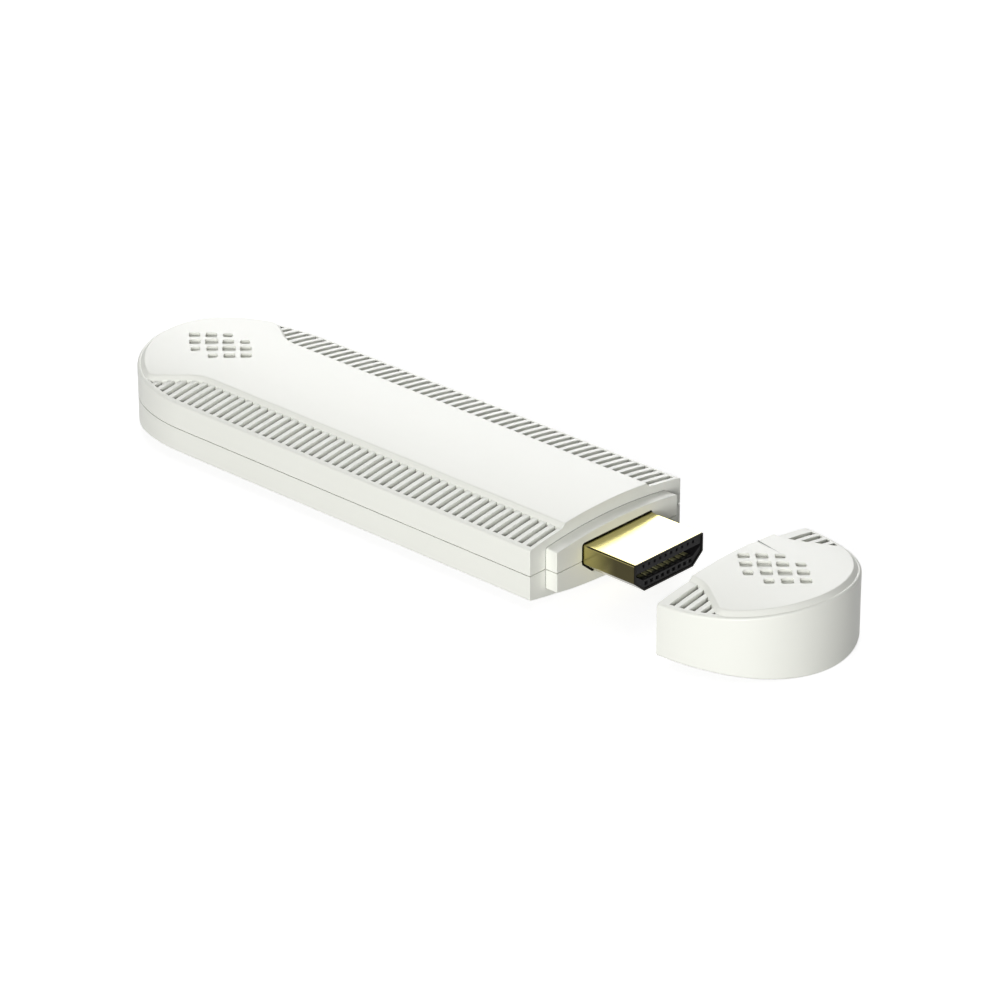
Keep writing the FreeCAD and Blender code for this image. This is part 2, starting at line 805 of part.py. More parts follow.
def button_pieces():
    """Mode button, its switch and the switch's plunger."""
    wall_inside = inner_half - tab_gap
    flange_back = wall_inside - button_flange
    front = half_width + button_proud
    button = button_bar(0, flange_back, front)
    button = break_edges(button, edge_break, lambda edge: edge.BoundBox.YMin > front - near_zero)
    centre_x = face_x - button_place
    wide = button_width / 2 + button_flange_spread
    centre_z = parting_z + button_rise
    flange = box(centre_x - wide, centre_x + wide, flange_back, wall_inside,
                 centre_z - button_height / 2, centre_z + button_height / 2)
    button = button.fuse(flange).removeSplitter()
    switch_front = half_width - board_inset - switch_setback
    switch_z = board_top + switch_height / 2
    switch = box(centre_x - switch_width / 2, centre_x + switch_width / 2,
                 switch_front - switch_depth, switch_front, board_top, board_top + switch_height)
    plunger_back = switch_front - plunger_sunk
    plunger = box(centre_x - plunger_width / 2, centre_x + plunger_width / 2, plunger_back, flange_back,
                  switch_z - plunger_height / 2, switch_z + plunger_height / 2)
    half = plunger_width / 2 + plunger_play
    tall = plunger_height / 2 + plunger_play
    well = box(centre_x - half, centre_x + half, plunger_back - button_travel - plunger_play,
               switch_front + overcut, switch_z - tall, switch_z + tall)
    return button, switch.cut(well), plunger


def chip(spec):
    """Flat package on the board."""
    along, y, length, width, height = spec
    x = face_x - along
    return box(x - length / 2, x + length / 2, y - width / 2, y + width / 2, board_top, board_top + height)


def chamfered_chip(spec):
    """Flat package whose top edges are chamfered."""
    block = chip(spec)
    top = board_top + spec[4]
    edges = [edge for edge in block.Edges if edge.BoundBox.ZMin > top - near_zero]
    return block.makeChamfer(chip_chamfer, edges)


def memory_chips():
    """Two memory packages side by side along the board."""
    first = (memory_place - memory_spacing / 2, 0.0) + memory_size
    second = (memory_place + memory_spacing / 2, 0.0) + memory_size
    return Part.makeCompound([chamfered_chip(first), chamfered_chip(second)])


def radio_shield():
    """Metal can over the radio chip, open to the board."""
    along, y, length, width, height = radio_can
    can = chip(radio_can)
    can = break_edges(can, 2 * can_sheet, lambda edge: runs_along(edge, Vector(0, 0, 1)))
    inner = (along, y, length - 2 * can_sheet, width - 2 * can_sheet, height - can_sheet)
    return can.cut(chip(inner))


def heat_parts():
    """Thermal pad on the processor and the spreader plate over it, with its four legs."""
    along, y, length, width, height = processor
    pad_top = board_top + height + pad_thickness
    x = face_x - along
    pad = box(x - length / 2 + pad_margin, x + length / 2 - pad_margin,
              y - width / 2 + pad_margin, y + width / 2 - pad_margin, board_top + height, pad_top)
    middle = face_x - spreader_place
    half_length = spreader_length / 2
    half = spreader_width / 2
    plate_top = pad_top + spreader_thickness
    plate = box(middle - half_length, middle + half_length, -half, half, pad_top, plate_top)
    legs = []
    for end in (-1, 1):
        for side in (-1, 1):
            x0 = middle + end * half_length
            x1 = x0 - end * spreader_thickness
            y0 = side * half
            y1 = y0 - side * spreader_leg
            legs.append(box(min(x0, x1), max(x0, x1), min(y0, y1), max(y0, y1), board_top, pad_top))
    plate = round_edges(plate.fuse(legs).removeSplitter(), spreader_thickness / 2,
                        lambda edge: edge.BoundBox.ZMin > plate_top - near_zero
                        and runs_along(edge, Vector(0, 1, 0)))
    return pad, plate


def antenna(side):
    """Stamped antenna: a plate on two legs, a feed and a ground."""
    x = tail_x + antenna_from_tail
    y0 = side * (half_width - antenna_inset) - antenna_width / 2
    y1 = y0 + antenna_width
    top = board_top + antenna_height
    x1 = x + antenna_length / 2
    plate = box(x - antenna_length / 2, x1, y0, y1, top - antenna_sheet, top)
    legs = []
    for offset in (0, antenna_leg_gap + antenna_leg):
        end = x1 - offset
        legs.append(box(end - antenna_leg, end, y0, y0 + antenna_sheet, board_top, top))
    return plate.fuse(legs).removeSplitter()


def capacitors():
    """Small capacitors in two rows along the board."""
    offset = half_width - capacitor_inset
    blocks = []
    for number in range(near_capacitors):
        blocks.append(chip((near_capacitor_place + number * capacitor_pitch, -offset) + capacitor_size))
    for number in range(far_capacitors):
        blocks.append(chip((far_capacitor_place + number * capacitor_pitch, offset) + capacitor_size))
    return Part.makeCompound(blocks)


def power_inductor():
    """Shielded coil block with cut-off corners."""
    return break_edges(chip(inductor), inductor_corner, lambda edge: runs_along(edge, Vector(0, 0, 1)))


def main():
    """Builds every piece and writes one STEP file for each."""
    os.makedirs("parts", exist_ok=True)
    outer = outer_shape()
    inner = inner_space()
    holes = openings_in_walls()
    insulator, contacts_upper, contacts_lower = plug_pieces()
    socket_shell, socket_tongue, socket_contact_set = socket_pieces()
    button, switch, plunger = button_pieces()
    pad, spreader = heat_parts()
    pieces = {
        "top_cover": top_cover(outer, inner, holes),
        "bottom_cover": bottom_cover(outer, inner, holes),
        "plug_cap": plug_cap(),
        "main_board": main_board(),
        "board_screws": board_screws(),
        "plug_shell": plug_shell(),
        "plug_insulator": insulator,
        "plug_contacts_upper": contacts_upper,
        "plug_contacts_lower": contacts_lower,
        "power_socket_shell": socket_shell,
        "power_socket_tongue": socket_tongue,
        "power_socket_contacts": socket_contact_set,
        "mode_button": button,
        "mode_switch": switch,
        "mode_switch_plunger": plunger,
        "main_processor": chamfered_chip(processor),
        "memory_chips": memory_chips(),
        "flash_chip": chamfered_chip(flash),
        "radio_chip": chamfered_chip(radio_chip),
        "radio_shield": radio_shield(),
        "crystal": chamfered_chip(crystal_can),
        "power_inductor": power_inductor(),
        "power_regulator": chamfered_chip(regulator),
        "capacitors": capacitors(),
        "thermal_pad": pad,
        "heat_spreader": spreader,
        "antenna_near": antenna(-1),
        "antenna_far": antenna(1),
    }
    for name, shape in pieces.items():
        count = len(shape.Solids)
        print(name, "valid", shape.isValid(), "solids", count, "volume %.2f" % shape.Volume)
        shape.exportStep("parts/" + name + ".step")


main()
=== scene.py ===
"""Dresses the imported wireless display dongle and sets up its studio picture.

The stick lies on a pale floor with its gold plug bare, and its cap lies in line with it. The two covers and
the cap take their packed forms and get the soft lips that moulded plastic has round its grooves and dimples.
Sizes are in millimetres and angles in degrees, except where a docstring gives another unit.
"""

import json
import logging
import math
from collections.abc import Callable
from dataclasses import dataclass, field
from enum import Enum
from functools import partial

import bmesh
import bpy
from mathutils import Matrix, Vector
from mathutils.bvhtree import BVHTree


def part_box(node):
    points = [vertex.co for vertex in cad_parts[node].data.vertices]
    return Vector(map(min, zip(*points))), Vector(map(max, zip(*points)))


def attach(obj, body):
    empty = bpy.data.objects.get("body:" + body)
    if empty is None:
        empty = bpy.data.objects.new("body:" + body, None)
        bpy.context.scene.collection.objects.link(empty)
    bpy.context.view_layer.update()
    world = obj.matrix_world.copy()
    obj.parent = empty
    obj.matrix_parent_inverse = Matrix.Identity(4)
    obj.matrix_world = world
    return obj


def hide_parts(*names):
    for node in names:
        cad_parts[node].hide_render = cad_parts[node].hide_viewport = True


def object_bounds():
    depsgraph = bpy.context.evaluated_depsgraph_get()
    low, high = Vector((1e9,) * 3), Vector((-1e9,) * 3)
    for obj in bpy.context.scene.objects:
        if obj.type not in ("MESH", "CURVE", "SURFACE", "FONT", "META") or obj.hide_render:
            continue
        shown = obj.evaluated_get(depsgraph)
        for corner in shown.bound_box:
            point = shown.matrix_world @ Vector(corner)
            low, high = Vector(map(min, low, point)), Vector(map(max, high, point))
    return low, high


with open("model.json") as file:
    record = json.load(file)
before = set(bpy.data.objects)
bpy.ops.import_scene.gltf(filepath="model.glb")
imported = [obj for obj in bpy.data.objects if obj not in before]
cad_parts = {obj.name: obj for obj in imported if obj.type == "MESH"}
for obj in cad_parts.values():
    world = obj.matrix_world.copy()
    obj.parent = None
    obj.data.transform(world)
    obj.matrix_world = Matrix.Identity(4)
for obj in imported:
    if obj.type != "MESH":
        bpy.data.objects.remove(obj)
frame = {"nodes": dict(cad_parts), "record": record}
CAD_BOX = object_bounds()

MM = 0.001
# Height at which the two covers meet, in metres.
PARTING_Z = 5.0217 * MM
LOG = logging.getLogger("dongle")

Colour = tuple[float, float, float]
Pair = tuple[float, float]
Socket = bpy.types.NodeSocket

WHITE: Colour = (1.0, 1.0, 1.0)
# Values between which a noise pattern mostly stays.
NOISE_RANGE: Pair = (0.3, 0.7)


class Slot(Enum):
    """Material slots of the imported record."""

    SHELL = "shell_white"
    GOLD = "plug_gold"
    INSULATOR = "insulator_grey"
    CONTACT = "contact_gold"
    BOARD = "board_green"
    CHIP = "chip_black"
    STEEL = "steel_sheet"
    SPREADER = "spreader_aluminium"
    PAD = "pad_grey"
    INDUCTOR = "inductor_grey"
    CAPACITOR = "capacitor_tan"


class Grain(Enum):
    """Directions in which a sheet's grain runs."""

    EVEN = (1.0, 1.0, 1.0)
    ALONG_STICK = (0.04, 1.0, 1.0)


def srgb(red: int, green: int, blue: int) -> Colour:
    """Turns an 8-bit screen colour into linear light.

    Args:
        red: Red level, from 0 to 255.
        green: Green level.
        blue: Blue level.

    Returns:
        The three linear values.
    """
    values = []
    for level in (red, green, blue):
        share = level / 255
        values.append(share / 12.92 if share <= 0.04045 else ((share + 0.055) / 1.055) ** 2.4)
    return values[0], values[1], values[2]


class NodeSheet:
    """Adds and links the nodes of one material or of the backdrop."""

    def __init__(self, tree: bpy.types.NodeTree) -> None:
        """Empties the tree and keeps hold of it.

        Args:
            tree: The node tree of a material or a world.
        """
        self.nodes = tree.nodes
        self.links = tree.links
        self.nodes.clear()

    def fill(self, place: Socket, value: Socket | Colour | float) -> None:
        """Links an input to another socket, or sets its constant value.

        Args:
            place: The input.
            value: A socket, a colour or a number.
        """
        if isinstance(value, Socket):
            self.links.new(value, place)
        elif place.type == "RGBA":
            place.default_value = (*value, 1.0)
        else:
            place.default_value = value

    def add(self, kind: str, inputs: dict[str | int, Socket | Colour | float],
            **settings: str | int | bool) -> bpy.types.Node:
        """Adds one node.

        Args:
            kind: The node's type, without the words ShaderNode that all types start with.
            inputs: What goes into its inputs, by their names or numbers.
            settings: The node's own settings, by their names.

        Returns:
            The node.
        """
        node = self.nodes.new("ShaderNode" + kind)
        for name, setting in settings.items():
            setattr(node, name, setting)
        for name, value in inputs.items():
            self.fill(node.inputs[name], value)
        return node

    def object_place(self) -> Socket:
        """Adds the place on the object, in metres."""
        return self.add("TexCoord", {}).outputs["Object"]

    def along_stick(self) -> Socket:
        """Adds the place along the stick, in metres."""
        return self.add("SeparateXYZ", {0: self.object_place()}).outputs["X"]

    def noise(self, scale: float, detail: float, grain: Grain) -> Socket:
        """Adds a noise pattern fixed to the object.

        Args:
            scale: Waves per metre.
            detail: Number of finer layers.
            grain: Direction in which the pattern is drawn out.

        Returns:
            The pattern's grey value.
        """
        place = self.add("Mapping", {"Vector": self.object_place(), "Scale": grain.value}).outputs["Vector"]
        return self.add("TexNoise", {"Vector": place, "Scale": scale, "Detail": detail}).outputs["Fac"]

    def spread(self, pattern: Socket, low: float, high: float) -> Socket:
        """Maps the middle of a pattern onto a range.

        Args:
            pattern: The pattern.
            low: Value at its dark parts.
            high: Value at its light parts.

        Returns:
            The mapped value.
        """
        dark, light = NOISE_RANGE
        inputs = {"Value": pattern, "From Min": dark, "From Max": light, "To Min": low, "To Max": high}
        return self.add("MapRange", inputs).outputs["Result"]

    def band(self, value: Socket, start: float, end: float) -> Socket:
        """Rises smoothly from 0 at the start value to 1 at the end value.

        Args:
            value: The value that is looked at.
            start: Value up to which the band is 0.
            end: Value from which it is 1.

        Returns:
            The band's share.
        """
        inputs = {"Value": value, "From Min": start, "From Max": end}
        return self.add("MapRange", inputs, interpolation_type="SMOOTHSTEP").outputs["Result"]

    def product(self, first: Socket, second: Socket) -> Socket:
        """Multiplies two values."""
        return self.add("Math", {0: first, 1: second}, operation="MULTIPLY").outputs[0]

    def larger(self, first: Socket, second: Socket) -> Socket:
        """Picks the larger of two values."""
        return self.add("Math", {0: first, 1: second}, operation="MAXIMUM").outputs[0]

    def mix(self, amount: Socket, first: Colour | Socket, second: Colour | Socket) -> Socket:
        """Mixes two colours by a pattern.

        Args:
            amount: Share of the second colour.
            first: First colour.
            second: Second colour.

        Returns:
            The mixed colour.
        """
        mixer = self.add("Mix", {"Factor": amount}, data_type="RGBA")
        places = [socket for socket in mixer.inputs if socket.type == "RGBA"]
        for place, colour in zip(places, (first, second)):
            self.fill(place, colour)
        return next(socket for socket in mixer.outputs if socket.type == "RGBA")

    def seen(self) -> Socket:
        """Tells rays that are seen directly, mirrored or through glass from the others.

        Returns:
            1 for a camera, glossy or transmission ray and 0 for any other.
        """
        rays = self.add("LightPath", {}).outputs
        direct = self.larger(rays["Is Camera Ray"], rays["Is Glossy Ray"])
        return self.larger(direct, rays["Is Transmission Ray"])


@dataclass(frozen=True)
class Finish:
    """One surface finish: two close colours, a range of roughness and a fine relief.

    Patches and grain are sized in waves per metre.
    """

    name: str
    colour: Colour
    second: Colour
    roughness: Pair
    metallic: float = 0.0
    ior: float = 1.5
    patch_scale: float = 60.0
    patch_detail: float = 2.0
    grain_scale: float = 5000.0
    grain_detail: float = 3.0
    grain_depth: float = 0.01
    grain_strength: float = 0.15
    grain: Grain = Grain.EVEN

    def paint_shade(self, sheet: NodeSheet, colour: Socket) -> Socket:
        """Leaves the colour as it is. Finishes that paint shade over the piece add it here."""
        return colour

    def make(self) -> bpy.types.Material:
        """Builds the material.

        Returns:
            The finished material.
        """
        material = bpy.data.materials.new(self.name)
        material.use_nodes = True
        sheet = NodeSheet(material.node_tree)
        patches = sheet.noise(self.patch_scale, self.patch_detail, self.grain)
        relief = sheet.noise(self.grain_scale, self.grain_detail, self.grain)
        depth = self.grain_depth * MM
        bump = sheet.add("Bump", {"Height": relief, "Strength": self.grain_strength, "Distance": depth})
        shader = sheet.add("BsdfPrincipled", {
            "Base Color": self.paint_shade(sheet, sheet.mix(patches, self.colour, self.second)),
            "Metallic": self.metallic,
            "Roughness": sheet.spread(relief, *self.roughness),
            "IOR": self.ior,
            "Normal": bump.outputs["Normal"],
        })
        sheet.add("OutputMaterial", {"Surface": shader.outputs["BSDF"]})
        return material


@dataclass(frozen=True)
class PlatedPlug(Finish):
    """Gold plating with painted shade: the flanks darken towards the tip, and the folds next to the neck and
    the cut edge turn near-black, as shade and dark reflections would make them. The cut edge is also bare of
    plating.

    The bands are shares of how far a face looks up or forward, from no painted shade to full painted shade.
    """

    # Painted shade: the flanks darken to this colour towards the tip, as a dark reflection would darken them.
    flank_shade: Colour = (0.067, 0.058, 0.027)
    # Painted shade: near-black on the folds next to the neck and on the cut edge and rim, which are also bare
    # of plating.
    bare: Colour = (0.012, 0.011, 0.009)
    # Where the painted shade on the flanks starts past the neck, and how long it takes to grow.
    shade_start: float = 1.0
    flank_shade_length: float = 5.0
    rim: Pair = (0.16, 0.09)
    flank_band: Pair = (0.3, 0.1)
    fold_foot_band: Pair = (0.3, 0.5)
    fold_head_band: Pair = (0.96, 0.88)
    cut_band: Pair = (0.5, 0.8)

    def paint_shade(self, sheet: NodeSheet, colour: Socket) -> Socket:
        """Paints shade over the plating: darker flanks, near-black folds and a near-black cut edge.

        Args:
            sheet: The material's nodes.
            colour: Colour of the fresh plating.

        Returns:
            The colour with the painted shade.
        """
        neck_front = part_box("top_cover")[1].x
        start = neck_front + self.shade_start * MM
        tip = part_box("plug_shell")[1].x
        along = sheet.along_stick()
        facing = sheet.add("SeparateXYZ", {0: sheet.add("NewGeometry", {}).outputs["Normal"]}).outputs
        # Painted shade on the flanks, growing towards the tip.
        flank = sheet.product(sheet.band(facing["Z"], *self.flank_band),
                              sheet.band(along, start, start + self.flank_shade_length * MM))
        # Painted shade on the folds next to the neck.
        fold = sheet.product(sheet.band(facing["Z"], *self.fold_foot_band),
                             sheet.band(facing["Z"], *self.fold_head_band))
        fold = sheet.product(fold, sheet.band(along, neck_front, start))
        # The rim and the forward-facing cut edge: bare of plating, and painted near-black as shade.
        rim = sheet.band(along, tip - self.rim[0] * MM, tip - self.rim[1] * MM)
        cut = sheet.larger(sheet.band(facing["X"], *self.cut_band), rim)
        # Painted shade laid over the plating: flanks, then folds, then the cut edge.
        colour = sheet.mix(flank, colour, self.flank_shade)
        colour = sheet.mix(fold, colour, self.bare)
        return sheet.mix(cut, colour, self.bare)


@dataclass(frozen=True)
class ContactStrip(Finish):
    """Plated contacts with painted shade: their tips turn dark towards the plug's mouth, under the insulator.
    """

    # Painted shade: colour of the tips near the mouth.
    tip_shade: Colour = (0.012, 0.012, 0.010)
    # Distances from the mouth between which the painted shade takes over.
    tip_shade_span: Pair = (1.15, 0.65)

    def paint_shade(self, sheet: NodeSheet, colour: Socket) -> Socket:
        """Paints shade on the tips.

        Args:
            sheet: The material's nodes.
            colour: Colour of the plating.

        Returns:
            The colour with the painted shade.
        """
        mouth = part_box("plug_shell")[1].x
        start, end = (mouth - room * MM for room in self.tip_shade_span)
        return sheet.mix(sheet.band(sheet.along_stick(), start, end), colour, self.tip_shade)


@dataclass(frozen=True)
class MouldedShell(Finish):
    """White plastic with painted shade: its colour darkens in the narrow corners and in the depths of its
    grooves and dimples, where shade falls.

    A reach is how far away other walls of the piece count. A band holds the free share of the view at which
    a place is closed in, and the one at which it is open.
    """

    # Painted shade for the depths of the grooves and dimples.
    depth_shade: Colour = (0.24, 0.24, 0.22)
    depth_shade_reach: float = 1.4
    depth_shade_band: Pair = (0.12, 0.36)
    # Painted shade for the narrow corners.
    corner: Colour = (0.22, 0.22, 0.20)
    corner_shade_reach: float = 0.26
    corner_shade_band: Pair = (0.45, 0.80)
    rays: int = 8

    def openness(self, sheet: NodeSheet, reach: float, limits: Pair) -> Socket:
        """Tells open places from those that other walls close in.

        Args:
            sheet: The material's nodes.
            reach: How far away walls count.
            limits: The band from closed to open.

        Returns:
            0 where it is closed in and 1 where it is open.
        """
        view = sheet.add("AmbientOcclusion", {"Distance": reach * MM}, samples=self.rays, only_local=True)
        return sheet.band(view.outputs["AO"], *limits)

    def paint_shade(self, sheet: NodeSheet, colour: Socket) -> Socket:
        """Paints shade into the corners and the depths.

        Args:
            sheet: The material's nodes.
            colour: Colour of the open surface.

        Returns:
            The colour with the painted shade.
        """
        # Painted shade: narrow corners first, then the depths.
        colour = sheet.mix(self.openness(sheet, self.corner_shade_reach, self.corner_shade_band), self.corner, colour)
        return sheet.mix(self.openness(sheet, self.depth_shade_reach, self.depth_shade_band), self.depth_shade, colour)


FINISHES = {
    Slot.SHELL: MouldedShell("white moulded shell", srgb(238, 239, 232), srgb(236, 237, 229), (0.36, 0.46),
                             grain_scale=6000.0, grain_depth=0.012, grain_strength=0.12),
    Slot.GOLD: PlatedPlug("gold plated sheet", (0.47, 0.42, 0.17), (0.45, 0.40, 0.155), (0.16, 0.24), 1.0,
                          patch_scale=300.0, grain_scale=3000.0, grain_depth=0.003, grain=Grain.ALONG_STICK),
    Slot.INSULATOR: Finish("dark moulded insulator", srgb(23, 22, 24), srgb(19, 18, 19), (0.45, 0.58),
                           ior=1.3),
    Slot.CONTACT: ContactStrip("plated contact strip", srgb(160, 158, 118), srgb(146, 144, 106),
                               (0.42, 0.55), 0.35, grain=Grain.ALONG_STICK),
    Slot.BOARD: Finish("solder mask", srgb(22, 92, 62), srgb(16, 74, 50), (0.28, 0.4), patch_scale=900.0),
    Slot.CHIP: Finish("moulded chip package", srgb(40, 40, 43), srgb(34, 34, 37), (0.5, 0.62),
                      grain_scale=9000.0, grain_depth=0.02, grain_strength=0.3),
    Slot.STEEL: Finish("nickel plated sheet", srgb(206, 207, 210), srgb(194, 195, 198), (0.24, 0.36), 1.0,
                       grain=Grain.ALONG_STICK),
    Slot.SPREADER: Finish("bare aluminium sheet", srgb(214, 214, 217), srgb(203, 203, 206), (0.32, 0.46),
                          1.0, grain=Grain.ALONG_STICK),
    Slot.PAD: Finish("soft thermal pad", srgb(150, 160, 172), srgb(140, 150, 162), (0.7, 0.85),
                     grain_scale=2500.0, grain_depth=0.05, grain_strength=0.4),
    Slot.INDUCTOR: Finish("pressed ferrite", srgb(78, 78, 80), srgb(66, 66, 68), (0.6, 0.75),
                          grain_scale=4000.0, grain_depth=0.04, grain_strength=0.4),
    Slot.CAPACITOR: Finish("fired ceramic", srgb(180, 152, 112), srgb(166, 138, 98), (0.4, 0.55)),
}
# Painted shade: black for the sheet that fills the gap round the plug, where shade falls.
GAP_SHADE_BLACK = Finish("black gap shade", srgb(9, 9, 8), srgb(6, 6, 6), (0.6, 0.75), ior=1.25)


def put_on(thing: bpy.types.Object, material: bpy.types.Material) -> None:
    """Gives one material to the whole of an object.

    Args:
        thing: A CAD node or a piece.
        material: The material.
    """
    if not thing.material_slots:
        thing.data.materials.append(material)
    for place in thing.material_slots:
        place.material = material


class Wardrobe:
    """Makes the finish of each slot once and puts it on nodes and pieces."""

    def __init__(self) -> None:
        """Makes every material."""
        self.materials = {slot: finish.make() for slot, finish in FINISHES.items()}

    def dress(self, thing: bpy.types.Object, slot: Slot) -> None:
        """Puts a slot's finish on a node or a piece."""
        put_on(thing, self.materials[slot])


def add_object(name: str, data: bpy.types.ID) -> bpy.types.Object:
    """Puts a new object into the scene.

    Args:
        name: Its name.
        data: Its mesh, lamp or camera.

    Returns:
        The object.
    """
    thing = bpy.data.objects.new(name, data)
    bpy.context.scene.collection.objects.link(thing)
    return thing


def finished_mesh(work: bmesh.types.BMesh, name: str) -> bpy.types.Mesh:
    """Turns a working mesh into a finished one and frees it.

    Args:
        work: The working mesh.
        name: Name of the finished one.

    Returns:
        The finished mesh.
    """
    mesh = bpy.data.meshes.new(name)
    work.to_mesh(mesh)
    work.free()
    return mesh


def join_loops(work: bmesh.types.BMesh, loops: list[list[bmesh.types.BMVert]]) -> None:
    """Joins each loop to the next one with a band of faces.

    Args:
        work: The working mesh.
        loops: Loops of points, all with as many points.
    """
    for one, other in zip(loops, loops[1:]):
        for index in range(len(one)):
            after = (index + 1) % len(one)
            work.faces.new((one[index], other[index], other[after], one[after]))


def filleted(corners: list[tuple[Vector, float]], steps: int) -> list[Vector]:
    """Rounds the corners of a closed plan outline.

    Args:
        corners: Points with their radii.
        steps: Straight parts of each rounding.

    Returns:
        The outline's points.
    """
    outline = []
    for index, (point, radius) in enumerate(corners):
        before = (corners[index - 1][0] - point).normalized()
        after = (corners[(index + 1) % len(corners)][0] - point).normalized()
        half = before.angle(after) / 2
        centre = point + (before + after).normalized() * radius / math.sin(half)
        first = point + before * radius / math.tan(half) - centre
        last = point + after * radius / math.tan(half) - centre
        start = math.atan2(first.y, first.x)
        sweep = (math.atan2(last.y, last.x) - start + math.pi) % (2 * math.pi) - math.pi
        for step in range(steps + 1):
            turn = start + sweep * step / steps
            outline.append(centre + Vector((math.cos(turn), math.sin(turn))) * radius)
    return outline


@dataclass(frozen=True)
class Ring:
    """One level of a recess: how far it is spread, its height, and whether that counts from the skin.

    A height that doesn't count from the skin counts from the flat that the recess's floor lies under.
    """

    spread: float
    height: float
    on_skin: bool

    @property
    def depth(self) -> float:
        """How far a level of the floor lies under its flat. At the skin it is 0."""
        return 0.0 if self.on_skin else -self.height


@dataclass(frozen=True)
class Recess:
    """Sizes of one kind of recess. Its cutter stands out of the skin by what over says."""

    depth: float
    lip: float
    floor_corner: float
    draft: float = 0.02
    over: float = 0.6
    steps: int = 4

    def rings(self) -> list[Ring]:
        """Levels from the open top, over the rounded lip and down the wall, to the floor.

        Returns:
            The levels in order.
        """
        turns = [math.pi / 2 * step / self.steps for step in range(self.steps + 1)]
        rings = [Ring(self.lip, self.over, True)]
        for turn in turns:
            rings.append(Ring(self.lip * (1 - math.sin(turn)), -self.lip * (1 - math.cos(turn)), True))
        for turn in turns:
            rings.append(Ring(-self.draft - self.floor_corner * (1 - math.cos(turn)),
                              -self.depth + self.floor_corner * (1 - math.sin(turn)), False))
        return rings


